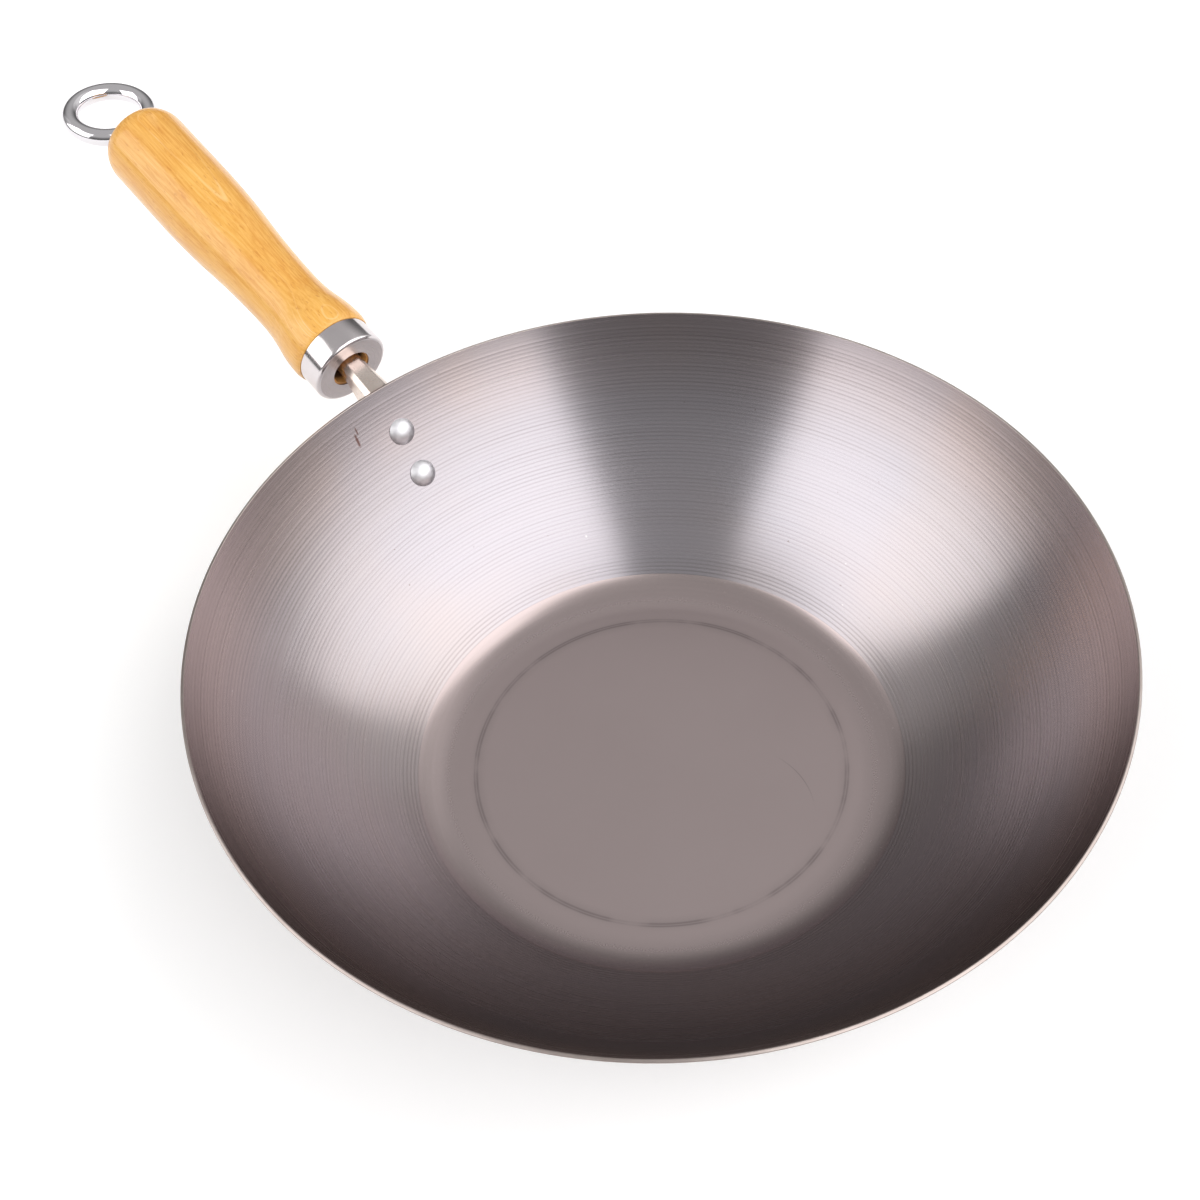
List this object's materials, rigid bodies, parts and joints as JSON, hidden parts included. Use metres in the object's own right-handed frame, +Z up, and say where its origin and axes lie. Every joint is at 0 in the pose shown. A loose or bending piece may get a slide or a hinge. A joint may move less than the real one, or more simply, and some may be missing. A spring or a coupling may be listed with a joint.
{
  "type": "wok",
  "caption": "Flat-bottomed spun carbon steel wok with a riveted bracket, a turned wooden grip with a steel ferrule, and a hanging ring on a tie rod.",
  "frame": {"origin": "centre of the flat underside of the bowl, on the surface that the wok stands on", "axes": "+X horizontal from the centre of the bowl towards the handle, +Z up out of the bowl"},
  "size_m": [0.495, 0.2998, 0.1182],
  "materials": {
    "carbon_steel": "bare carbon steel, spun ridges on the wall and satin on the base",
    "plated_steel": "pressed and nickel plated",
    "rivet_aluminium": "bright, headed cold",
    "polished_steel": "polished and plated",
    "lacquered_wood": "clear gloss lacquer over straight grain",
    "zinc_steel": "zinc plated",
    "ring_chrome": "bright chrome"
  },
  "bodies": {
    "wok": {"bowl": "carbon_steel", "handle_bracket": "plated_steel", "upper_rivet": "rivet_aluminium", "lower_rivet": "rivet_aluminium", "ferrule": "polished_steel", "wooden_grip": "lacquered_wood", "tang_nut": "zinc_steel"},
    "washer": {"end_washer": "zinc_steel"},
    "ring": {"tie_rod": "zinc_steel", "hanging_ring": "ring_chrome"}
  },
  "joints": [
    {"name": "rod_travel", "type": "slide", "parent": "wok", "child": "washer", "axis": [0.9767, 0, 0.2147], "range_m": [0, 0.0034]},
    {"name": "ring_turn", "type": "hinge", "parent": "washer", "child": "ring", "pos_m": [0.21666, 0, 0.08352], "axis": [0.9767, 0, 0.2147], "range_deg": [0, 1530]}
  ],
  "couplings": [
    {"joint": "rod_travel", "follows": "ring_turn", "m_per_rad": 0.0001273}
  ]
}
